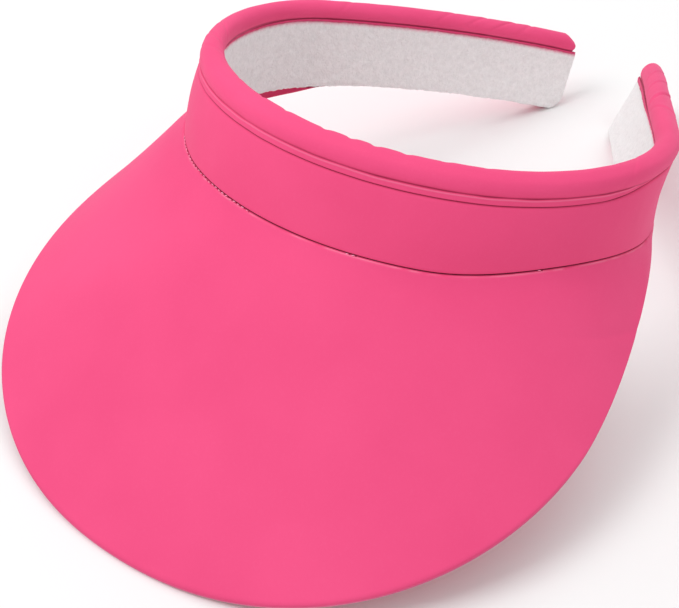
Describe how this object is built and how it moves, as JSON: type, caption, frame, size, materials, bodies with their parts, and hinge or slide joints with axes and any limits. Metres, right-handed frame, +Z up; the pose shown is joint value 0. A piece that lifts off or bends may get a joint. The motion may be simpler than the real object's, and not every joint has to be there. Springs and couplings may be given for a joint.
{
  "type": "sun visor",
  "caption": "Clip-on sun visor with a wide curved fabric-covered brim, an open padded head band with a terry sweatband, and a round roll along its top edge.",
  "frame": {"origin": "on the resting plane, under the centre of the whole visor", "axes": "+Z up, -Y towards the front edge of the brim, +X towards the wearer's left"},
  "size_m": [0.2294, 0.3343, 0.1095],
  "materials": {
    "cover": "matt",
    "lining": "matt",
    "terry": "looped",
    "foam": "matt",
    "board": "satin",
    "strip": "satin",
    "thread": "matt"
  },
  "bodies": {
    "front": {"brim_board": "board", "brim_top_cover": "cover", "brim_under_cover": "lining", "brim_seam_stitches": "thread", "band_cover_front": "cover", "band_foam_front": "foam", "spring_strip_front": "strip", "sweatband_front": "terry", "roll_cover_front": "cover", "roll_cord_front": "foam", "roll_flange": "lining"},
    "left_arm": {"band_cover_left": "cover", "band_foam_left": "foam", "spring_strip_left": "strip", "sweatband_left": "terry", "roll_cover_left": "cover", "roll_cord_left": "foam", "tip_fold_left": "lining"},
    "right_arm": {"band_cover_right": "cover", "band_foam_right": "foam", "spring_strip_right": "strip", "sweatband_right": "terry", "roll_cover_right": "cover", "roll_cord_right": "foam", "tip_fold_right": "lining"}
  },
  "joints": [
    {"name": "left_arm_flex", "type": "hinge", "parent": "front", "child": "left_arm", "pos_m": [0.07308, 0.07554, 0.06799], "axis": [0.023, -0.397, -0.9175], "range_deg": [-3, 18], "stiffness_Nm_per_rad": 0.5},
    {"name": "right_arm_flex", "type": "hinge", "parent": "front", "child": "right_arm", "pos_m": [-0.07308, 0.07554, 0.06799], "axis": [0.023, 0.397, 0.9175], "range_deg": [-3, 18], "stiffness_Nm_per_rad": 0.5}
  ]
}
